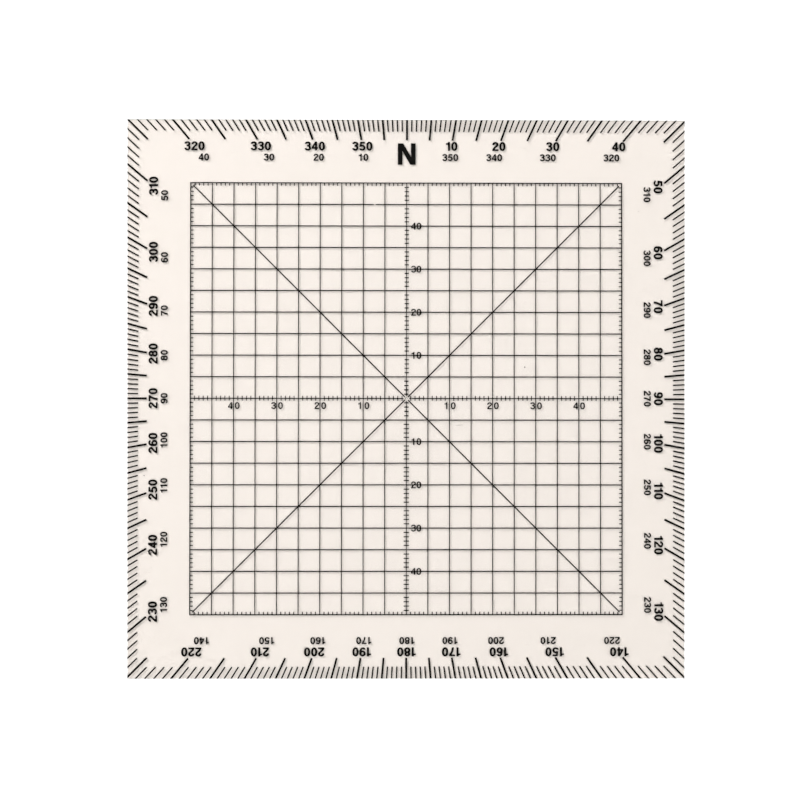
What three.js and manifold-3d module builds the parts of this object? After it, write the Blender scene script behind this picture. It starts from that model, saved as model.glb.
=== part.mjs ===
// A square protractor for charts and maps: one clear plastic sheet with a small hole in its middle,
// a scale of 360 degree marks printed round its edge, and a printed grid of lines with two diagonals.
//
// Millimetres. The sheet lies flat on z = 0 with its printed face up. The origin is the middle of its
// underside, +Y points to the bearing of 0 degrees and +X to the bearing of 90 degrees.

import * as THREE from "three";
import { mergeVertices } from "three/addons/utils/BufferGeometryUtils.js";
import Module from "manifold-3d";

const wasm = await Module();
wasm.setup();

// Driving dimensions of the sheet.
const sheetThickness = 0.5;
const holeDiameter = 0.6;

// Driving dimensions of the printed grid. Its upright lines are finer than its level ones, and the two
// axes through the middle are the finest.
const squarePitch = 5;
const squaresPerSide = 20;
const uprightLineWidth = 0.225;
const levelLineWidth = 0.27;
const frameLineWidth = 0.28;
const uprightAxisWidth = 0.155;
const levelAxisWidth = 0.22;
const diagonalLineWidth = 0.28;
const diagonalCornerGap = 0.6;

// Driving dimensions of the degree scale. A mark's depth is measured square to the sheet's edge.
const longMarkDepth = 4.75;
const longMarkWidth = 0.5;
const shortMarkDepth = 2.65;
const shortMarkWidth = 0.31;
const longMarkStep = 5;
const numeralBand = 9.95;

// The ink of both stands this far proud of the sheet, and the grid keeps this far from the hole.
const inkThickness = 0.05;
const inkToHole = 0.3;

// Cutters reach this far past what they cut, and joined pieces this far into what carries them.
const overrun = 0.2;

const degreesPerTurn = 360;
const holeSegments = 48;

// Sizes that follow from the ones above.
const gridSide = squarePitch * squaresPerSide;
const sheetSide = gridSide + 2 * (numeralBand + longMarkDepth);
const sheetHalf = sheetSide / 2;
const gridHalf = gridSide / 2;
const inkTop = sheetThickness + inkThickness;

// The widths of the grid's lines, for each way that they run.
const uprightWidths = { frame: frameLineWidth, axis: uprightAxisWidth, between: uprightLineWidth };
const levelWidths = { frame: frameLineWidth, axis: levelAxisWidth, between: levelLineWidth };

// A geometry as a solid that can be joined and cut.
function solidOf(geometry) {
  const bare = new THREE.BufferGeometry();
  bare.setAttribute("position", geometry.getAttribute("position"));
  bare.setIndex(geometry.getIndex());
  const merged = mergeVertices(bare);
  const mesh = new wasm.Mesh({
    numProp: 3,
    vertProperties: merged.attributes.position.array,
    triVerts: new Uint32Array(merged.index.array),
  });
  return new wasm.Manifold(mesh);
}

function geometryOf(solid) {
  const mesh = solid.getMesh();
  const geometry = new THREE.BufferGeometry();
  geometry.setAttribute("position", new THREE.BufferAttribute(mesh.vertProperties, mesh.numProp));
  geometry.setIndex(new THREE.BufferAttribute(mesh.triVerts, 1));
  const faceted = geometry.toNonIndexed();
  faceted.computeVertexNormals();
  return faceted;
}

// A flat bar of ink or plastic: its middle in plan, its size along its own x and y, the heights that it
// spans, and its turn about +Z.
function bar({ x = 0, y = 0, sizeX, sizeY, bottom, top, turn = 0 }) {
  const geometry = new THREE.BoxGeometry(sizeX, sizeY, top - bottom);
  geometry.rotateZ(turn);
  geometry.translate(x, y, (bottom + top) / 2);
  return solidOf(geometry);
}

// A round cutter that stands on the middle of the sheet.
function centreCutter(radius) {
  const height = inkTop + 2 * overrun;
  const geometry = new THREE.CylinderGeometry(radius, radius, height, holeSegments);
  geometry.rotateX(Math.PI / 2);
  geometry.translate(0, 0, inkTop / 2);
  return solidOf(geometry);
}

function joined(solids) {
  return solids.reduce((sum, solid) => sum.add(solid));
}

// One degree mark lies along its bearing's ray from the middle of the sheet. Its inner end is cut square
// at the mark's depth, and its outer end runs past the sheet's edge.
function degreeMark(bearing) {
  const long = bearing % longMarkStep === 0;
  const depth = long ? longMarkDepth : shortMarkDepth;
  const width = long ? longMarkWidth : shortMarkWidth;
  const angle = THREE.MathUtils.degToRad(bearing);
  const raySquareness = Math.max(Math.abs(Math.sin(angle)), Math.abs(Math.cos(angle)));
  const innerEnd = (sheetHalf - depth) / raySquareness;
  const outerEnd = (sheetHalf + overrun) / raySquareness + width;
  const middle = (innerEnd + outerEnd) / 2;
  return bar({
    x: middle * Math.sin(angle),
    y: middle * Math.cos(angle),
    sizeX: width,
    sizeY: outerEnd - innerEnd,
    bottom: sheetThickness - overrun,
    top: inkTop + 2 * overrun,
    turn: -angle,
  });
}

// Everything above the sheet's top face that isn't a degree mark, as one cutter.
function bareTop() {
  const bearings = Array.from({ length: degreesPerTurn }, (_, bearing) => bearing);
  const side = sheetSide + 2 * overrun;
  const layer = bar({ sizeX: side, sizeY: side, bottom: sheetThickness, top: inkTop + overrun });
  return layer.subtract(joined(bearings.map(degreeMark)));
}

// The sheet carries the degree scale as raised marks, because no line joins them to each other.
function clearSheet() {
  const block = bar({ sizeX: sheetSide, sizeY: sheetSide, bottom: 0, top: inkTop });
  return block.subtract(bareTop()).subtract(centreCutter(holeDiameter / 2));
}

// The width of one line of the grid, counted from the frame line on one side to the one opposite.
function lineWidth(line, widths) {
  if (line === 0 || line === squaresPerSide) return widths.frame;
  return line === squaresPerSide / 2 ? widths.axis : widths.between;
}

// The bare stretches between the lines that run one way, each measured across them.
function bareStretches(widths) {
  return Array.from({ length: squaresPerSide }, (_, line) => {
    const start = line * squarePitch - gridHalf + lineWidth(line, widths) / 2;
    const end = (line + 1) * squarePitch - gridHalf - lineWidth(line + 1, widths) / 2;
    return { middle: (start + end) / 2, size: end - start };
  });
}

// The bare squares between the lines, as one cutter that leaves the two diagonals standing.
function bareSquares() {
  const heights = { bottom: sheetThickness - overrun, top: inkTop + overrun };
  const squares = bareStretches(uprightWidths).flatMap((across) =>
    bareStretches(levelWidths).map((up) =>
      bar({ x: across.middle, y: up.middle, sizeX: across.size, sizeY: up.size, ...heights }),
    ),
  );
  const diagonalLength = (gridSide - 2 * diagonalCornerGap) * Math.SQRT2;
  const diagonals = [Math.PI / 4, -Math.PI / 4].map((turn) =>
    bar({
      sizeX: diagonalLength,
      sizeY: diagonalLineWidth,
      bottom: heights.bottom - overrun,
      top: heights.top + overrun,
      turn,
    }),
  );
  return joined(squares).subtract(joined(diagonals));
}

// The grid is one joined web of ink that lies on the sheet's top face.
function gridInk() {
  const side = gridSide + frameLineWidth;
  const layer = bar({ sizeX: side, sizeY: side, bottom: sheetThickness, top: inkTop });
  return layer.subtract(bareSquares()).subtract(centreCutter(holeDiameter / 2 + inkToHole));
}

const clearPlastic = new THREE.MeshStandardMaterial({
  color: 0xf5ede7,
  roughness: 0.25,
  metalness: 0,
  transparent: true,
  opacity: 0.3,
});
const blackInk = new THREE.MeshStandardMaterial({ color: 0x1e1e20, roughness: 0.6, metalness: 0 });

function namedMesh(name, solid, material) {
  const mesh = new THREE.Mesh(geometryOf(solid), material);
  mesh.name = name;
  return mesh;
}

const protractor = new THREE.Group();
protractor.add(namedMesh("clear_sheet", clearSheet(), clearPlastic));
protractor.add(namedMesh("grid_ink", gridInk(), blackInk));

export default protractor;
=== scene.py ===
import math

import bpy
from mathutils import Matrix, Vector
from mathutils.geometry import delaunay_2d_cdt


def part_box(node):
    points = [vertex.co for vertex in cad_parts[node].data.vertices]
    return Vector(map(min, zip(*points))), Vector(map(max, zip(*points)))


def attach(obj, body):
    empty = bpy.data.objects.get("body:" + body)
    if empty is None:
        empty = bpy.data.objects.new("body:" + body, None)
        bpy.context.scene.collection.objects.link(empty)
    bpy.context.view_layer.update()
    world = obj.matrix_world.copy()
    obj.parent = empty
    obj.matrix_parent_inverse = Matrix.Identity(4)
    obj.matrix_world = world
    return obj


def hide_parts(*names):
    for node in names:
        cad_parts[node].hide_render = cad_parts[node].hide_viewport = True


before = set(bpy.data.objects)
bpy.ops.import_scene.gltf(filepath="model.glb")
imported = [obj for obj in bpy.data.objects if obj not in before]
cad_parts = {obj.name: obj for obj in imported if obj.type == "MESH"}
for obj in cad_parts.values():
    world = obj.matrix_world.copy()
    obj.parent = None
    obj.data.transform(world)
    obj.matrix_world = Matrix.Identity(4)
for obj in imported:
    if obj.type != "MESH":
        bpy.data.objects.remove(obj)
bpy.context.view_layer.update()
sheet_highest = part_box("clear_sheet")[1]
grid_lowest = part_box("grid_ink")[0]

# Sizes below are in millimetres, and MM turns them into Blender's metres.
MM = 0.001

# The sheet. The parts in model.glb give half its side, its top face, which is where the grid's ink starts,
# and the ink's top. The hole's waist and the chamfers are the scene's own.
SHEET_HALF = sheet_highest.x / MM
FACE_TOP = grid_lowest.z / MM
INK_TOP = sheet_highest.z / MM
HOLE_RADIUS = 0.3
HOLE_WAIST_RADIUS = 0.1
HOLE_SIDES = 64
CUT_CHAMFER = 0.06
NORTH_CHAMFER = 0.2

# The sheet is cut a little out of square: its lower corners lie this far in from the true ones.
LOWER_LEFT_TRIM = 0.38
LOWER_RIGHT_TRIM = 0.32

# The printed degree scale. A mark's depth is measured square to the sheet's edge.
LONG_MARK_DEPTH = 4.75
LONG_MARK_WIDTH = 0.44
SHORT_MARK_DEPTH = 2.74
SHORT_MARK_WIDTH = 0.315
RIGHT_CORNER_MARK_DEPTH = 5.03
LONG_MARK_STEP = 5

# Marks are drawn this far past the sheet's edge and then trimmed to it.
MARK_OVERRUN = 1

# Bearings, in degrees
TURN = 360
QUARTER_TURN = 90
CORNER_BEARING = 45

# The artwork of the scale and its letter lies a little off the grid's: to the right, down, and turned
# with the clock. The square on which the marks' inner ends lie has a shift of its own, and its upper and
# lower sides draw in by this share of the way to the right.
SCALE_SHIFT = (0.05, -0.08)
SCALE_TURN = math.radians(-0.05)
MARK_END_SHIFT = (-0.09, 0.0)
MARK_END_TAPER_SHARE = 0.0026

# The two rings of numbers, one number every ten degrees: where they meet the rays of their bearings, how
# far in from there the numbers of the top, right, lower and left side lie, the ring's shift to the right,
# and the height of its figures. Some numbers, told by their bearing, stray along their side of the sheet,
# and that way counts to the right as the number is read.
NUMBER_STEP = 10
OUTER_STRAYS = {150: -0.4, 220: 0.45, 250: 0.25}
INNER_STRAYS = {
    20: -0.4,
    80: 0.35,
    120: 0.3,
    130: 0.35,
    210: -0.25,
    230: -0.25,
    250: 0.4,
    260: 0.3,
    290: -0.25,
    310: -0.4,
    320: 0.25,
    330: 0.55,
    350: -0.25,
}
OUTER_RING = {
    "ray": 58.7,
    "insets": (0.13, 0.32, 0.12, -0.13),
    "shift": 0.1,
    "height": 2.08,
    "strays": OUTER_STRAYS,
}
INNER_RING = {
    "ray": 56.53,
    "insets": (0.56, 0.82, 0.55, 0.28),
    "shift": 0.2,
    "height": 1.63,
    "strays": INNER_STRAYS,
}

# The printed grid. Up and across say which way a line runs.
SQUARE_PITCH = 5.0
SQUARES_PER_SIDE = 20
GRID_HALF = SQUARE_PITCH * SQUARES_PER_SIDE / 2
UP_LINE_WIDTH = 0.2
ACROSS_LINE_WIDTH = 0.245
UPRIGHT_AXIS_WIDTH = 0.155
LOWER_AXIS_WIDTH = 0.175
LEVEL_AXIS_WIDTH = 0.22
FRAME_UP_WIDTH = 0.255
FRAME_ACROSS_WIDTH = 0.245
DIAGONAL_WIDTH = 0.26
DIAGONAL_CORNER_GAP = 0.6
CENTRE_CLEAR_RADIUS = 0.52
LEVEL_AXIS_START = 0.65
HEAVY_AXIS_END = 2.4

# The millimetre ticks: a width, and how far each reaches back and forward from the line that carries it.
# The print runs thinner on the upper half of the upright axis, and its ticks are shortest near the middle.
TICK_PITCH = 1.0
FRAME_TICK = {"width": 0.21, "back": 0.0, "forward": 0.68}
LEVEL_TICK = {"width": 0.19, "back": 0.52, "forward": 0.6}
LOWER_TICK = {"width": 0.23, "back": 0.61, "forward": 0.62}
UPPER_TICK = {"width": 0.23, "back": 0.42, "forward": 0.58}
NEAR_TICK = {"width": 0.25, "back": 0.5, "forward": 0.52}

# A small flaw of the print: a break in one level line of the grid.
BREAK_LINE = 45.0
BREAK_MIDDLE = -7.35
BREAK_LENGTH = 0.36

# Specks of stray ink, each by its place and radius, and one hair line
SPECKS = (
    ((27.45, 7.3), 0.13),
    ((-60.6, -17.85), 0.12),
    ((53.9, 43.55), 0.09),
    ((50.4, 54.45), 0.06),
)
SPECK_SIDES = 10
HAIR_LINE = ((11.5, -6.2), (13.1, -6.1))
HAIR_LINE_WIDTH = 0.05

# The small numbers along the two axes. The level axis's numbers are set wider, and they hang under their
# lines a little to the right.
AXIS_NUMBERS = (10, 20, 30, 40)
AXIS_NUMBER_HEIGHT = 1.58
UPRIGHT_AXIS_NUMBER_X = 2.28
LEVEL_AXIS_NUMBER_Y = -1.67
LEVEL_AXIS_NUMBER_SHIFT = 0.07
UPRIGHT_AXIS_ADVANCE_SHARE = 0.79
LEVEL_AXIS_ADVANCE_SHARE = 1.0

# How the printed figures are drawn. All of this is in shares of the figure's height, but for the roundness,
# which is the power of an oval: 2 for an ellipse, and more for a squarer one.
FIGURE_HALF_WIDTH_SHARE = 0.343
FIGURE_ADVANCE_SHARE = 0.78
BOLD = {"stem": 0.234, "bar": 0.186}
LIGHT = {"stem": 0.21, "bar": 0.184}
FINE = {"stem": 0.18, "bar": 0.158}
ROUNDNESS = 2.25

# How much closer the next figure comes to a 1, as a share of the height
BOLD_TUCK = 0.145
LIGHT_TUCK = 0.06

# The compass letter: its left, right, lower and upper edge, the width of its stems, and the level width of
# its slanted stroke as a share of theirs
LETTER_BOX = (-2.11, 2.01, 54.35, 59.32)
LETTER_STEM = 1.07
LETTER_SLANT_SHARE = 1.15

# Steps in a quarter of an oval, and how near each other two points of a stroke, or two corners of joined
# shapes, count as one
CURVE_STEPS = 10
SAME_POINT = 1e-6
SAME_CORNER = 1e-4


# Flat shapes in plan

def strip(start, end, width):
    """A straight line of ink between two points, with square ends."""
    (x0, y0), (x1, y1) = start, end
    length = math.hypot(x1 - x0, y1 - y0)
    side_x = -(y1 - y0) / length * width / 2
    side_y = (x1 - x0) / length * width / 2
    return [
        (x0 - side_x, y0 - side_y),
        (x1 - side_x, y1 - side_y),
        (x1 + side_x, y1 + side_y),
        (x0 + side_x, y0 + side_y),
    ]


def block(x0, y0, x1, y1):
    return [(x0, y0), (x1, y0), (x1, y1), (x0, y1)]


def sheet_outline(inset=0, north_inset=0):
    """The sheet's four corners, counter-clockwise from the lower left, drawn in by an inset.

    The north edge is drawn in by an inset of its own.
    """
    side = SHEET_HALF - inset
    north = SHEET_HALF - north_inset
    return [
        (LOWER_LEFT_TRIM - side, -side),
        (side - LOWER_RIGHT_TRIM, -side),
        (side, north),
        (-side, north),
    ]


def clip_to_sheet(polygon):
    """Trims a convex polygon to the sheet's outline, one edge of the sheet at a time."""
    outline = sheet_outline()
    for (x0, y0), (x1, y1) in zip(outline, outline[1:] + outline[:1]):
        # These grow with the distance from the edge and are negative outside it.
        depths = [(x1 - x0) * (y - y0) - (y1 - y0) * (x - x0) for x, y in polygon]
        kept = []
        for i, here in enumerate(polygon):
            before, depth_here, depth_before = polygon[i - 1], depths[i], depths[i - 1]
            if (depth_here >= 0) != (depth_before >= 0):
                share = depth_here / (depth_here - depth_before)
                kept.append(tuple(h + share * (b - h) for h, b in zip(here, before)))
            if depth_here >= 0:
                kept.append(here)
        polygon = kept
    return polygon


def counter_clockwise(polygon):
    double_area = sum(
        x0 * y1 - x1 * y0
        for (x0, y0), (x1, y1) in zip(polygon, polygon[1:] + polygon[:1])
    )
    return polygon if double_area > 0 else polygon[::-1]


def turned_side(bearing):
    """Which side of the sheet a whole bearing points to: 0 top, 1 right, 2 lower, 3 left.

    A corner's bearing counts to the side that it ends, with the clock.
    """
    return (bearing + CORNER_BEARING - 1) // QUARTER_TURN % 4


def ray(bearing):
    """The direction of a bearing as x and y, and the size of the larger of the two."""
    angle = math.radians(bearing)
    x, y = math.sin(angle), math.cos(angle)
    return x, y, max(abs(x), abs(y))


def off_grid(polygon):
    """Where a shape of the scale's artwork lies on the sheet."""
    cos, sin = math.cos(SCALE_TURN), math.sin(SCALE_TURN)
    return [
        (SCALE_SHIFT[0] + x * cos - y * sin, SCALE_SHIFT[1] + x * sin + y * cos)
        for x, y in polygon
    ]


# Figures, drawn with a pen whose width is the stem sideways and the bar up and down

def bow(start, end, leaves):
    """A quarter of an oval between two points that leaves the first one upright or flat."""
    points = []
    for step in range(CURVE_STEPS + 1):
        angle = math.pi / 2 * step / CURVE_STEPS
        near = math.cos(angle) ** (2 / ROUNDNESS)
        far = math.sin(angle) ** (2 / ROUNDNESS)
        if leaves == "upright":
            x = end[0] + (start[0] - end[0]) * near
            y = start[1] + (end[1] - start[1]) * far
        else:
            x = start[0] + (end[0] - start[0]) * far
            y = end[1] + (start[1] - end[1]) * near
        points.append((x, y))
    return points


def curve(start, pull_start, pull_end, end):
    """A smooth curve between two points that leaves and meets them along the lines to two others."""
    points = []
    for step in range(2 * CURVE_STEPS + 1):
        t = step / (2 * CURVE_STEPS)
        weights = ((1 - t) ** 3, 3 * t * (1 - t) ** 2, 3 * t * t * (1 - t), t ** 3)
        controls = (start, pull_start, pull_end, end)
        points.append(tuple(sum(w * c[i] for w, c in zip(weights, controls)) for i in (0, 1)))
    return points


def route(*stretches):
    """One run of points through stretches that follow on from each other."""
    points = []
    for stretch in stretches:
        for point in stretch:
            if not points or math.dist(point, points[-1]) > SAME_POINT:
                points.append(point)
    return points


def pen_stroke(points, stem, bar):
    """Four-sided pieces along a run of points. The ends are cut flat or upright, as the run arrives."""
    sides = []
    for index, (x, y) in enumerate(points):
        before = points[max(index - 1, 0)]
        after = points[min(index + 1, len(points) - 1)]
        run_x, run_y = after[0] - before[0], after[1] - before[1]
        length = math.hypot(run_x, run_y)
        side_x = -run_y / length * stem / 2
        side_y = run_x / length * bar / 2
        sides.append(((x + side_x, y + side_y), (x - side_x, y - side_y)))
    return [
        [left, right, next_right, next_left]
        for (left, right), (next_left, next_right) in zip(sides, sides[1:])
    ]


def oval(middle_x, low, high, reach):
    middle_y = (low + high) / 2
    left, right = (middle_x - reach, middle_y), (middle_x + reach, middle_y)
    top, bottom = (middle_x, high), (middle_x, low)
    return route(
        bow(left, top, "upright"),
        bow(top, right, "flat"),
        bow(right, bottom, "upright"),
        bow(bottom, left, "flat"),
    )


def figure(character, stem, bar):
    """The pieces of one figure, with its height from 0 to 1 and its middle at x = 0.

    Every number here is a share of the figure's height, or of its stem or bar.
    """
    half = FIGURE_HALF_WIDTH_SHARE
    reach = half - stem / 2
    low, high = bar / 2, 1 - bar / 2
    waist = 0.53

    def pen(*stretches):
        return pen_stroke(route(*stretches), stem, bar)

    if character == "0":
        return pen(oval(0, low, high, reach))
    if character == "1":
        right = 0.08 + 0.3 * stem
        left = -0.19 - 0.5 * stem
        flag_low = 0.705 - 0.1 * bar
        flag_high = flag_low + 0.85 * bar
        top_left = (right - 0.8 * stem, 1.0)
        sweep = curve((left, flag_high), (left + 0.16, flag_high), (top_left[0] - 0.02, 0.86), top_left)
        return [
            block(right - stem, 0, right, 1),
            sweep + [(right - stem / 2, 1.0), (right - stem / 2, flag_low), (left, flag_low)],
        ]
    if character == "2":
        spine = curve((reach, 0.72), (reach, 0.5), (-reach, 0.42), (-reach, 0))
        return pen(
            bow((-reach, 0.665), (0, high), "upright"),
            bow((0, high), (reach, 0.72), "flat"),
            spine,
        ) + [block(-half, 0, half, bar)]
    if character == "3":
        return pen(
            bow((-reach, 0.735), (-0.01, high), "upright"),
            bow((-0.01, high), (reach - 0.02, 0.75), "flat"),
            bow((reach - 0.02, 0.75), (0, waist), "upright"),
            [(-0.1, waist)],
        ) + pen(
            [(-0.1, waist)],
            bow((0, waist), (reach, 0.285), "flat"),
            bow((reach, 0.285), (0, low), "upright"),
            bow((0, low), (-reach, 0.27), "flat"),
        )
    if character == "4":
        right = 0.225 + 0.1 * stem
        bar_low = 0.27 - 0.4 * bar
        lean = [(right - 0.95 * stem, 1), (-half - 0.01, bar_low + 0.9 * bar)]
        shift = 0.9 * stem
        return [
            block(right - stem, 0, right, 1),
            block(-half - 0.01, bar_low, half, bar_low + bar),
            lean + [(x + shift, y) for x, y in reversed(lean)],
        ]
    if character == "5":
        top = 0.98
        left = -half + 0.025
        return [
            block(-0.235, top - bar, half - 0.045, top),
            [(-0.235, top), (left, 0.44), (left + 0.9 * stem, 0.44), (-0.235 + 0.85 * stem, top)],
        ] + pen(
            bow((-reach + 0.02, 0.44), (0.0, 0.655 - bar / 2), "upright"),
            bow((0.0, 0.655 - bar / 2), (reach, 0.325), "flat"),
            bow((reach, 0.325), (-0.005, low), "upright"),
            bow((-0.005, low), (-reach, 0.25), "flat"),
        )
    if character == "6":
        bowl_high = 0.655 - bar / 2
        return pen(
            bow((reach - 0.01, 0.76), (0.015, high), "upright"),
            bow((0.015, high), (-reach, 0.47), "flat"),
            [(-reach, 0.33)],
            bow((-reach, 0.33), (0, low), "upright"),
            bow((0, low), (reach, 0.33), "flat"),
            bow((reach, 0.33), (0, bowl_high), "upright"),
            bow((0, bowl_high), (-reach, 0.33), "flat"),
        )
    if character == "7":
        top = 0.98
        start = (reach, top - bar / 2)
        return [block(-half, top - bar, half, top)] + pen(
            curve(start, (0.1, 0.66), (-0.075, 0.34), (-0.085, 0))
        )
    if character == "8":
        return pen(oval(0, waist, high, reach - 0.025)) + pen(oval(0, low, waist, reach))
    if character == "9":
        return [[(-x, 1 - y) for x, y in piece] for piece in figure("6", stem, bar)]
    raise ValueError(character)


def number(text, height, weight, centre, turn=0.0, advance=FIGURE_ADVANCE_SHARE, tuck=0.0):
    """A number's pieces with its middle at a point in plan, turned by an angle against the clock.

    A figure after a 1 comes closer to it by the tuck, and a figure before a 1 by half of it.
    """
    pieces = []
    cos, sin = math.cos(turn), math.sin(turn)
    places = [0.0]
    for before, after in zip(text, text[1:]):
        closer = tuck * (before == "1") + tuck / 2 * (after == "1")
        places.append(places[-1] + advance - closer)
    for place, character in zip(places, text):
        offset = place - places[-1] / 2
        for piece in figure(character, **weight):
            moved = []
            for x, y in piece:
                along = (x + offset) * height
                up = (y - 0.5) * height
                moved.append((
                    centre[0] + along * cos - up * sin,
                    centre[1] + along * sin + up * cos,
                ))
            pieces.append(moved)
    return pieces


# Ink: flat shapes joined into one outline and given the ink's thickness

def joined_triangles(polygons):
    """The triangles that cover all the polygons, each place once. What lies between them stays bare."""
    corners, faces = [], []
    for polygon in polygons:
        first = len(corners)
        corners += [Vector(point) for point in counter_clockwise(polygon)]
        faces.append(list(range(first, len(corners))))
    # The first number asks for every triangle, also those that belong to no polygon.
    points, _, triangles, _, _, owners = delaunay_2d_cdt(corners, [], faces, 0, SAME_CORNER)
    return points, [tri for tri, owner in zip(triangles, owners) if owner]


def ink_piece(name, polygons):
    """One piece of ink, which lies on the sheet's top face and has walls where it ends."""
    points, triangles = joined_triangles(polygons)
    used = sorted({index for tri in triangles for index in tri})
    place = {index: new for new, index in enumerate(used)}
    count = len(used)
    vertices = [
        (points[index].x * MM, points[index].y * MM, z * MM)
        for z in (FACE_TOP, INK_TOP)
        for index in used
    ]
    faces = []
    edges = set()
    for tri in triangles:
        a, b, c = (place[index] for index in tri)
        faces.append((a + count, b + count, c + count))
        faces.append((c, b, a))
        edges |= {(a, b), (b, c), (c, a)}
    for a, b in sorted(edges):
        if (b, a) not in edges:
            faces.append((a, b, b + count, a + count))
    mesh = bpy.data.meshes.new(name)
    mesh.from_pydata(vertices, [], faces)
    mesh.validate()
    piece = bpy.data.objects.new(name, mesh)
    bpy.context.scene.collection.objects.link(piece)
    mesh.materials.append(black_ink)
    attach(piece, "root")
    return piece


# Materials

# Clear plastic, as light meets it once on its way down to the ground and once on its way back.
PLASTIC_TINT = (0.867, 0.8315, 0.7995)
PLASTIC_CLOUD_TINT = (0.8592, 0.8245, 0.7905)
PLASTIC_IOR = 1.5

# What a face lets through of the light from the lamps and the ground, and an edge's share of that
LAMP_TINT = (0.958, 0.94, 0.922)
EDGE_SHARE = 0.9

# Below, each size is that of a noise's grain in millimetres, each stretch draws the grain out along x, y and
# z, each height is that of a relief in millimetres, and each roughness is a range.
CLOUD_SIZE = 22
WEAR_SIZE = 9
WEAR_DETAIL = 6.0
WEAR_ROUGHNESS = (0.03, 0.06)
WAVE_SIZE = 30
WAVE_HEIGHT = 0.006
SCRATCH_SIZE = 0.25
SCRATCH_STRETCHES = ((70, 1, 1), (1, 50, 1))
SCRATCH_HEIGHT = 0.0003

SAW_LINE_SIZE = 0.12
SAW_LINE_STRETCH = (1, 1, 40)
SAW_LINE_ROUGHNESS = (0.28, 0.5)
SAW_LINE_HEIGHT = 0.01

# Painted shade of the hole's wall and the north edge's upper chamfer: the deeper and the paler shade that its
# rings vary between, and how much light the wall lets through.
WALL_SHADE_DEEP = (0.25, 0.24, 0.2)
WALL_SHADE_PALE = (0.5, 0.48, 0.43)
WALL_CLEARNESS = 0.35
WALL_RING_SIZE = 0.05
WALL_RING_STRETCH = (4, 4, 1)
WALL_RING_ROUGHNESS = (0.5, 0.7)
WALL_RING_HEIGHT = 0.006

INK_DARK = (0.0012, 0.001, 0.0007)
INK_PALE = (0.0045, 0.0038, 0.003)
INK_SHINE = 0.03
INK_PATCH_SIZE = 1.6
INK_PATCH_DETAIL = 4.0
INK_GRAIN_SIZE = 0.09
INK_GRAIN_ROUGHNESS = (0.48, 0.66)
INK_GRAIN_HEIGHT = 0.004

# A noise's values lie between these, but for rare ones.
NOISE_LOW = 0.3
NOISE_HIGH = 0.7


def new_material(name):
    material = bpy.data.materials.new(name)
    material.use_nodes = True
    return material, material.node_tree, material.node_tree.nodes["Principled BSDF"]


def noise(tree, size, stretch=(1, 1, 1), detail=2.0):
    """Smooth noise whose grains are about this many millimetres across, drawn out by the stretch."""
    place = tree.nodes.new("ShaderNodeTexCoord")
    mapping = tree.nodes.new("ShaderNodeMapping")
    texture = tree.nodes.new("ShaderNodeTexNoise")
    mapping.inputs["Scale"].default_value = [1 / part for part in stretch]
    texture.inputs["Scale"].default_value = 1 / (size * MM)
    texture.inputs["Detail"].default_value = detail
    tree.links.new(place.outputs["Object"], mapping.inputs["Vector"])
    tree.links.new(mapping.outputs["Vector"], texture.inputs["Vector"])
    return texture.outputs["Fac"]


def ranged(tree, value, low, high):
    """The middle part of a noise, spread over a range."""
    spread = tree.nodes.new("ShaderNodeMapRange")
    spread.inputs["From Min"].default_value = NOISE_LOW
    spread.inputs["From Max"].default_value = NOISE_HIGH
    spread.inputs["To Min"].default_value = low
    spread.inputs["To Max"].default_value = high
    tree.links.new(value, spread.inputs["Value"])
    return spread.outputs["Result"]


def vary_colour(tree, shader, value, first, second):
    """Lets a noise move the shader's colour from one to the other."""
    mix = tree.nodes.new("ShaderNodeMix")
    mix.data_type = "RGBA"
    mix.inputs["A"].default_value = (*first, 1)
    mix.inputs["B"].default_value = (*second, 1)
    tree.links.new(ranged(tree, value, 0, 1), mix.inputs["Factor"])
    tree.links.new(mix.outputs["Result"], shader.inputs["Base Color"])


def add_relief(tree, shader, layers):
    """Bumps on bumps. Each layer is a noise and its height in millimetres."""
    below = None
    for value, height in layers:
        bump = tree.nodes.new("ShaderNodeBump")
        bump.inputs["Distance"].default_value = height * MM
        tree.links.new(value, bump.inputs["Height"])
        if below:
            tree.links.new(below, bump.inputs["Normal"])
        below = bump.outputs["Normal"]
    tree.links.new(below, shader.inputs["Normal"])


def let_lamps_through(tree, shader, tint):
    """Lets light from the lamps and the ground go straight through, so the print's shadow stays clean."""
    path = tree.nodes.new("ShaderNodeLightPath")
    clear = tree.nodes.new("ShaderNodeBsdfTransparent")
    clear.inputs["Color"].default_value = (*tint, 1)
    surface = shader.outputs["BSDF"]
    for kind in ("Is Shadow Ray", "Is Diffuse Ray"):
        mix = tree.nodes.new("ShaderNodeMixShader")
        tree.links.new(path.outputs[kind], mix.inputs["Fac"])
        tree.links.new(surface, mix.inputs[1])
        tree.links.new(clear.outputs["BSDF"], mix.inputs[2])
        surface = mix.outputs["Shader"]
    tree.links.new(surface, tree.nodes["Material Output"].inputs["Surface"])


def make_clear_plastic():
    """Smooth clear sheet, very slightly wavy, with faint clouds of tint and hair scratches from use."""
    material, tree, shader = new_material("clear_plastic")
    shader.inputs["Transmission Weight"].default_value = 1.0
    shader.inputs["IOR"].default_value = PLASTIC_IOR
    vary_colour(tree, shader, noise(tree, CLOUD_SIZE), PLASTIC_TINT, PLASTIC_CLOUD_TINT)
    wear = ranged(tree, noise(tree, WEAR_SIZE, detail=WEAR_DETAIL), *WEAR_ROUGHNESS)
    tree.links.new(wear, shader.inputs["Roughness"])
    waves = noise(tree, WAVE_SIZE)
    scratches = [(noise(tree, SCRATCH_SIZE, stretch), SCRATCH_HEIGHT) for stretch in SCRATCH_STRETCHES]
    add_relief(tree, shader, [(waves, WAVE_HEIGHT)] + scratches)
    let_lamps_through(tree, shader, LAMP_TINT)
    return material


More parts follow.
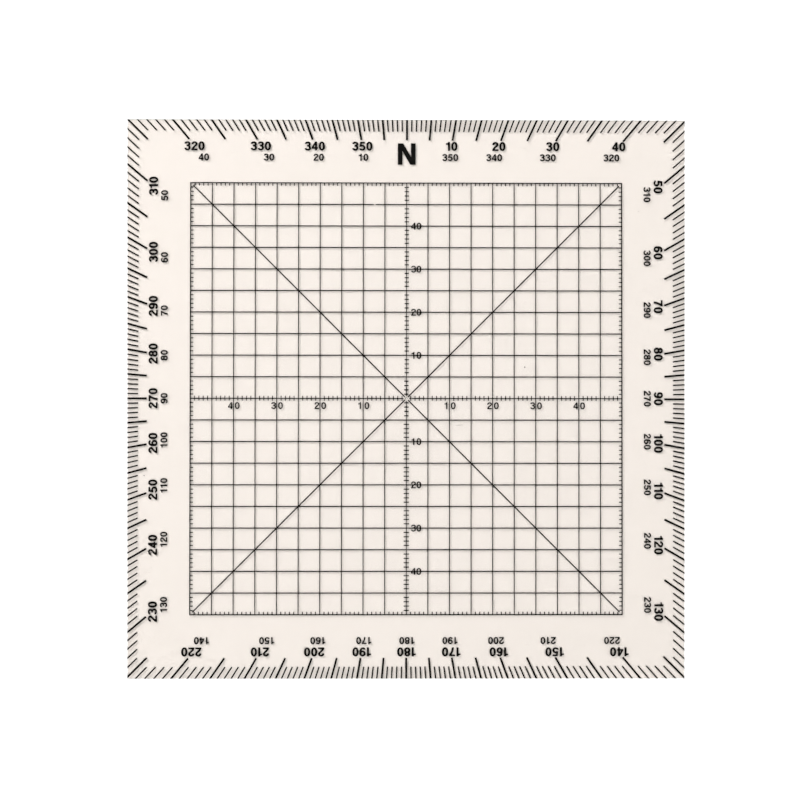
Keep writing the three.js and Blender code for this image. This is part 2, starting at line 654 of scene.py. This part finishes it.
def make_cut_edge():
    """The sawn edge: frosted, with fine upright lines left by the blade."""
    material, tree, shader = new_material("cut_edge")
    shader.inputs["Transmission Weight"].default_value = 1.0
    shader.inputs["IOR"].default_value = PLASTIC_IOR
    saw_lines = noise(tree, SAW_LINE_SIZE, SAW_LINE_STRETCH)
    vary_colour(tree, shader, saw_lines, PLASTIC_TINT, PLASTIC_CLOUD_TINT)
    tree.links.new(ranged(tree, saw_lines, *SAW_LINE_ROUGHNESS), shader.inputs["Roughness"])
    add_relief(tree, shader, [(saw_lines, SAW_LINE_HEIGHT)])
    let_lamps_through(tree, shader, [EDGE_SHARE * part for part in LAMP_TINT])
    return material


def make_rough_wall():
    """The wall of the small hole and the rough chamfer of the north edge, darkened with painted shade that
    stands in for the shade in the hole and along the north edge.
    """
    material, tree, shader = new_material("shaded_rough_wall")
    shader.inputs["IOR"].default_value = PLASTIC_IOR
    shader.inputs["Transmission Weight"].default_value = WALL_CLEARNESS
    rings = noise(tree, WALL_RING_SIZE, WALL_RING_STRETCH)
    vary_colour(tree, shader, rings, WALL_SHADE_DEEP, WALL_SHADE_PALE)
    tree.links.new(ranged(tree, rings, *WALL_RING_ROUGHNESS), shader.inputs["Roughness"])
    add_relief(tree, shader, [(rings, WALL_RING_HEIGHT)])
    let_lamps_through(tree, shader, [EDGE_SHARE * part for part in LAMP_TINT])
    return material


def make_black_ink():
    """Screen-printed ink: flat black, with the mesh's fine grain and paler patches where it lies thin."""
    material, tree, shader = new_material("black_ink")
    shader.inputs["Specular IOR Level"].default_value = INK_SHINE
    patches = noise(tree, INK_PATCH_SIZE, detail=INK_PATCH_DETAIL)
    vary_colour(tree, shader, patches, INK_DARK, INK_PALE)
    grain = noise(tree, INK_GRAIN_SIZE)
    tree.links.new(ranged(tree, grain, *INK_GRAIN_ROUGHNESS), shader.inputs["Roughness"])
    add_relief(tree, shader, [(grain, INK_GRAIN_HEIGHT)])
    return material


clear_plastic = make_clear_plastic()
cut_edge = make_cut_edge()
shaded_rough_wall = make_rough_wall()
black_ink = make_black_ink()


# The sheet

# Its finishes, in the order of its materials
SMOOTH, SAWN, ROUGH = range(3)


def round_loop(radius, z):
    turns = [math.tau * side / HOLE_SIDES for side in range(HOLE_SIDES)]
    return [(radius * math.cos(turn), radius * math.sin(turn), z) for turn in turns]


def make_sheet():
    """The sheet with a fine chamfer along its cut edges, rougher and wider on the north edge's upper side."""
    # A height, and how far the sides and the north edge are drawn in there
    levels = [
        (0, CUT_CHAMFER, CUT_CHAMFER),
        (CUT_CHAMFER, 0, 0),
        (FACE_TOP - CUT_CHAMFER, 0, 0),
        (FACE_TOP, CUT_CHAMFER, NORTH_CHAMFER),
    ]
    bore = [(0, HOLE_RADIUS), (FACE_TOP / 2, HOLE_WAIST_RADIUS), (FACE_TOP, HOLE_RADIUS)]
    vertices, faces, finishes = [], [], []

    def add_loop(loop):
        first = len(vertices)
        vertices.extend(tuple(c * MM for c in point) for point in loop)
        return list(range(first, len(vertices)))

    outer = [
        add_loop([(x, y, z) for x, y in sheet_outline(inset, north_inset)])
        for z, inset, north_inset in levels
    ]
    inner = [add_loop(round_loop(radius, z)) for z, radius in bore]

    def add_walls(low, high, inward, finish):
        count = len(low)
        for i in range(count):
            j = (i + 1) % count
            wall = (low[i], low[j], high[j], high[i])
            faces.append(wall[::-1] if inward else wall)
            finishes.append(finish)

    for low, high in zip(outer, outer[1:]):
        add_walls(low, high, False, SAWN)
    # The wall between corners 2 and 3 of the last pair of loops is the north edge's upper chamfer, which
    # takes the rough wall's painted shade.
    finishes[-2] = ROUGH
    # The hole's wall also takes the rough wall's painted shade.
    for low, high in zip(inner, inner[1:]):
        add_walls(low, high, True, ROUGH)

    # Each quarter of a flat face is a fan from one corner of the sheet to its stretch of the hole.
    quarter = HOLE_SIDES // 4
    for corners, ring, top in ((outer[0], inner[0], False), (outer[-1], inner[-1], True)):
        for corner in range(4):
            # Corner 0 is at the lower left, whose stretch of the hole runs from 180 to 270 degrees.
            start = (corner + 2) % 4 * quarter
            for i in range(quarter):
                a, b = ring[(start + i) % HOLE_SIDES], ring[(start + i + 1) % HOLE_SIDES]
                tri = (corners[corner], b, a)
                faces.append(tri if top else tri[::-1])
                finishes.append(SMOOTH)
            meet = ring[(start + quarter) % HOLE_SIDES]
            tri = (corners[corner], corners[(corner + 1) % 4], meet)
            faces.append(tri if top else tri[::-1])
            finishes.append(SMOOTH)

    mesh = bpy.data.meshes.new("clear_plastic_sheet")
    mesh.from_pydata(vertices, [], faces)
    mesh.validate()
    mesh.materials.append(clear_plastic)
    mesh.materials.append(cut_edge)
    mesh.materials.append(shaded_rough_wall)
    for polygon, finish in zip(mesh.polygons, finishes):
        polygon.material_index = finish
    sheet = bpy.data.objects.new("clear_plastic_sheet", mesh)
    bpy.context.scene.collection.objects.link(sheet)
    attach(sheet, "root")
    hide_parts("clear_sheet")


# The print

def degree_mark(bearing):
    """One mark along the ray of its bearing, from its inner end to the sheet's edge."""
    long = bearing % LONG_MARK_STEP == 0
    depth = LONG_MARK_DEPTH if long else SHORT_MARK_DEPTH
    width = LONG_MARK_WIDTH if long else SHORT_MARK_WIDTH
    x, y, squareness = ray(bearing)
    side = turned_side(bearing)
    on_corner = bearing % QUARTER_TURN == CORNER_BEARING
    if on_corner and x > 0:
        depth = RIGHT_CORNER_MARK_DEPTH
    elif side in (0, 2) and not on_corner:
        depth += MARK_END_TAPER_SHARE * SHEET_HALF * x / squareness
    # The inner ends have a shift of their own, so what off_grid moves them beyond it is taken off here.
    right, up = (scale - ends for scale, ends in zip(SCALE_SHIFT, MARK_END_SHIFT))
    shift_out = (up, right, -up, -right)[side]
    inner = (SHEET_HALF - depth - shift_out) / squareness
    outer = (SHEET_HALF + MARK_OVERRUN) / squareness
    mark = strip((x * inner, y * inner), (x * outer, y * outer), width)
    return clip_to_sheet(off_grid(mark))


def grid_lines():
    """The frame and the lines inside it, but for the two axes."""
    shapes = []
    reach = GRID_HALF + FRAME_ACROSS_WIDTH / 2
    break_start = BREAK_MIDDLE - BREAK_LENGTH / 2
    break_end = BREAK_MIDDLE + BREAK_LENGTH / 2
    for line in range(SQUARES_PER_SIDE + 1):
        place = line * SQUARE_PITCH - GRID_HALF
        on_frame = line in (0, SQUARES_PER_SIDE)
        if place == 0:
            continue
        up_width = FRAME_UP_WIDTH if on_frame else UP_LINE_WIDTH
        across_width = FRAME_ACROSS_WIDTH if on_frame else ACROSS_LINE_WIDTH
        shapes.append(strip((place, -reach), (place, reach), up_width))
        stretches = [(-reach, reach)]
        if place == BREAK_LINE:
            stretches = [(-reach, break_start), (break_end, reach)]
        for start, end in stretches:
            shapes.append(strip((start, place), (end, place), across_width))
    return shapes


def centre_spokes():
    """The axes and diagonals, each from the bare round spot at the middle outwards."""
    shapes = []
    near_corner = CENTRE_CLEAR_RADIUS / math.sqrt(2)
    far_corner = GRID_HALF - DIAGONAL_CORNER_GAP
    for sign in (-1, 1):
        near, far = sign * CENTRE_CLEAR_RADIUS, sign * GRID_HALF
        shapes.append(strip((sign * LEVEL_AXIS_START, 0), (far, 0), LEVEL_AXIS_WIDTH))
        shapes.append(strip((0, near), (0, far), UPRIGHT_AXIS_WIDTH if sign > 0 else LOWER_AXIS_WIDTH))
        for other in (-1, 1):
            start = (sign * near_corner, other * near_corner)
            end = (sign * far_corner, other * far_corner)
            shapes.append(strip(start, end, DIAGONAL_WIDTH))
    # The upright axis is as heavy as the level one just above the spot.
    shapes.append(strip((0, CENTRE_CLEAR_RADIUS), (0, HEAVY_AXIS_END), LEVEL_AXIS_WIDTH))
    return shapes


def tick(place, line, forward, upright, size):
    """A tick across an upright or level line. Forward, 1 or -1, says which way its longer end points."""
    back, front = line - forward * size["back"], line + forward * size["forward"]
    if upright:
        return strip((back, place), (front, place), size["width"])
    return strip((place, back), (place, front), size["width"])


def millimetre_ticks():
    """The ticks between the lines of the grid, inside the frame and across both axes."""
    shapes = []
    for count in range(1, round(2 * GRID_HALF / TICK_PITCH)):
        place = count * TICK_PITCH - GRID_HALF
        if place % SQUARE_PITCH == 0:
            continue
        for side in (-1, 1):
            shapes.append(tick(place, side * GRID_HALF, -side, True, FRAME_TICK))
            shapes.append(tick(place, side * GRID_HALF, -side, False, FRAME_TICK))
        upright_size = UPPER_TICK if place > 0 else LOWER_TICK
        if abs(place) < SQUARE_PITCH:
            upright_size = NEAR_TICK
        shapes.append(tick(place, 0, 1, True, upright_size))
        shapes.append(tick(place, 0, 1, False, LEVEL_TICK))
    return shapes


def axis_numbers():
    """Each number four times: beside both halves of the upright axis and under both of the level one."""
    shapes = []
    for value in AXIS_NUMBERS:
        for place in (-value, value):
            beside = (UPRIGHT_AXIS_NUMBER_X, place)
            under = (place + LEVEL_AXIS_NUMBER_SHIFT, LEVEL_AXIS_NUMBER_Y)
            for centre, advance in (
                (beside, UPRIGHT_AXIS_ADVANCE_SHARE),
                (under, LEVEL_AXIS_ADVANCE_SHARE),
            ):
                shapes += number(str(value), AXIS_NUMBER_HEIGHT, FINE, centre, advance=advance)
    return shapes


def ring_number(bearing, text, ring, weight, tuck):
    """A number of one ring, with its top towards the nearest side of the sheet."""
    x, y, squareness = ray(bearing)
    side = turned_side(bearing)
    reach = ring["ray"] - ring["insets"][side]
    centre = [max(-reach, min(reach, part / squareness * ring["ray"])) for part in (x, y)]
    turn = -side * math.pi / 2
    stray = ring["strays"].get(bearing, 0)
    centre[0] += ring["shift"] + stray * math.cos(turn)
    centre[1] += stray * math.sin(turn)
    return number(text, ring["height"], weight, centre, turn, tuck=tuck)


def outer_numbers():
    """The bearings themselves."""
    shapes = []
    for bearing in range(NUMBER_STEP, TURN, NUMBER_STEP):
        shapes += ring_number(bearing, str(bearing), OUTER_RING, BOLD, BOLD_TUCK)
    return shapes


def inner_numbers():
    """The bearings counted the other way round."""
    shapes = []
    for bearing in range(NUMBER_STEP, TURN, NUMBER_STEP):
        text = str(TURN - bearing)
        shapes += ring_number(bearing, text, INNER_RING, LIGHT, LIGHT_TUCK)
    return shapes


def stray_ink():
    shapes = [strip(*HAIR_LINE, HAIR_LINE_WIDTH)]
    for (x, y), radius in SPECKS:
        turns = [math.tau * side / SPECK_SIDES for side in range(SPECK_SIDES)]
        shapes.append([(x + radius * math.cos(turn), y + radius * math.sin(turn)) for turn in turns])
    return shapes


def north_letter():
    left, right, low, high = LETTER_BOX
    stem = LETTER_STEM
    slant = stem * LETTER_SLANT_SHARE
    strokes = [
        block(left, low, left + stem, high),
        block(right - stem, low, right, high),
        [(left, high), (right - slant, low), (right, low), (left + slant, high)],
    ]
    return [off_grid(stroke) for stroke in strokes]


make_sheet()
ink_piece("degree_marks", [degree_mark(bearing) for bearing in range(TURN)])
grid_print = ink_piece("grid_print", grid_lines() + centre_spokes() + millimetre_ticks() + axis_numbers())
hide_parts("grid_ink")
ink_piece("outer_numbers", outer_numbers())
ink_piece("inner_numbers", inner_numbers())
ink_piece("north_letter", north_letter())
ink_piece("stray_ink", stray_ink())


# Floor, light and camera. The distances of the floor and the lamp are in metres.

# White ground under the sheet, a hair lower than its underside
FLOOR_HALF = 1.5
FLOOR_GAP = 0.00005
FLOOR_COLOUR = (0.9, 0.9, 0.9)
FLOOR_ROUGHNESS = 0.9


def make_floor():
    material, _, shader = new_material("studio_floor")
    shader.inputs["Base Color"].default_value = (*FLOOR_COLOUR, 1)
    shader.inputs["Roughness"].default_value = FLOOR_ROUGHNESS
    shader.inputs["Specular IOR Level"].default_value = 0.0
    mesh = bpy.data.meshes.new("studio_floor")
    corners = [(x, y, -FLOOR_GAP) for x, y in block(-FLOOR_HALF, -FLOOR_HALF, FLOOR_HALF, FLOOR_HALF)]
    mesh.from_pydata(corners, [], [(0, 1, 2, 3)])
    mesh.materials.append(material)
    floor = bpy.data.objects.new("studio_floor", mesh)
    bpy.context.scene.collection.objects.link(floor)


def aim(thing, target):
    thing.rotation_mode = "QUATERNION"
    thing.rotation_quaternion = (target - thing.location).to_track_quat("-Z", "Y")


# Soft light from a ring round the camera, over a dimmer room with pale walls. It is dark straight
# overhead, where the sheet mirrors the camera. Angles are counted from straight overhead.
WALL_STRENGTH = 1.0
ROOM_STRENGTH = 0.1
RING_STRENGTH = 6.2
OVERHEAD_STRENGTH = 0.2
WALL_TO_ROOM = (math.radians(83), math.radians(70))
ROOM_TO_RING = (math.radians(30), math.radians(25))
RING_TO_OVERHEAD = (math.radians(16), math.radians(14))

# One round lamp to the upper left, which throws the print's faint shadow
KEY_TILT = math.radians(45.5)
KEY_TURN = math.radians(135)
KEY_DISTANCE = 0.8
KEY_HALF_ANGLE = math.radians(3.5)
KEY_POWER = 3.2


def rise(tree, height, angles, low, high):
    """A smooth change of strength between two angles from straight overhead."""
    share = tree.nodes.new("ShaderNodeMapRange")
    share.interpolation_type = "SMOOTHSTEP"
    share.inputs["From Min"].default_value = math.cos(angles[0])
    share.inputs["From Max"].default_value = math.cos(angles[1])
    share.inputs["To Min"].default_value = low
    share.inputs["To Max"].default_value = high
    tree.links.new(height, share.inputs["Value"])
    return share.outputs["Result"]


def total(tree, first, second):
    add = tree.nodes.new("ShaderNodeMath")
    tree.links.new(first, add.inputs[0])
    tree.links.new(second, add.inputs[1])
    return add.outputs["Value"]


def make_world():
    world = bpy.data.worlds.new("studio")
    bpy.context.scene.world = world
    world.use_nodes = True
    tree = world.node_tree
    direction = tree.nodes.new("ShaderNodeTexCoord")
    parts = tree.nodes.new("ShaderNodeSeparateXYZ")
    tree.links.new(direction.outputs["Generated"], parts.inputs["Vector"])
    height = parts.outputs["Z"]
    room = rise(tree, height, WALL_TO_ROOM, WALL_STRENGTH, ROOM_STRENGTH)
    ring = rise(tree, height, ROOM_TO_RING, 0, RING_STRENGTH - ROOM_STRENGTH)
    overhead = rise(tree, height, RING_TO_OVERHEAD, 0, OVERHEAD_STRENGTH - RING_STRENGTH)
    background = tree.nodes["Background"]
    background.inputs["Color"].default_value = (1, 1, 1, 1)
    tree.links.new(total(tree, total(tree, room, ring), overhead), background.inputs["Strength"])


def make_key():
    key = bpy.data.lights.new("key", "AREA")
    key.shape = "DISK"
    key.size = 2 * KEY_DISTANCE * math.tan(KEY_HALF_ANGLE)
    key.energy = KEY_POWER
    lamp = bpy.data.objects.new("key", key)
    bpy.context.scene.collection.objects.link(lamp)
    reach = KEY_DISTANCE * math.sin(KEY_TILT)
    lamp.location = (
        reach * math.cos(KEY_TURN),
        reach * math.sin(KEY_TURN),
        KEY_DISTANCE * math.cos(KEY_TILT),
    )
    aim(lamp, Vector((0, 0, 0)))


# The camera looks almost straight down, turned by these angles. The middle of the print lies this many
# millimetres away along the view and falls on this pixel, counted from the picture's upper left corner.
CAMERA_TURN = [math.radians(angle) for angle in (1.15, -0.8, 0.0376)]
CAMERA_DEPTH = 514.73
PRINT_MIDDLE_PIXEL = (406.37, 398.5)
PICTURE_SIDE = 800

# Focal length and width of the sensor in millimetres, and the range that the camera sees in metres
LENS = 100
SENSOR = 36
VIEW_START = 0.01
VIEW_END = 10


def make_camera():
    data = bpy.data.cameras.new("camera")
    data.lens = LENS
    data.sensor_width = SENSOR
    data.clip_start = VIEW_START
    data.clip_end = VIEW_END
    camera = bpy.data.objects.new("camera", data)
    bpy.context.scene.collection.objects.link(camera)
    camera.rotation_euler = CAMERA_TURN
    pixels = LENS / SENSOR * PICTURE_SIDE
    across = (PRINT_MIDDLE_PIXEL[0] - PICTURE_SIDE / 2) / pixels
    down = (PRINT_MIDDLE_PIXEL[1] - PICTURE_SIDE / 2) / pixels
    to_print = Vector((across, -down, -1)) * CAMERA_DEPTH
    to_print.rotate(camera.rotation_euler)
    camera.location = (Vector((0, 0, INK_TOP)) - to_print) * MM
    bpy.context.scene.camera = camera


make_floor()
make_world()
make_key()
make_camera()
bpy.context.scene.view_settings.view_transform = "Standard"
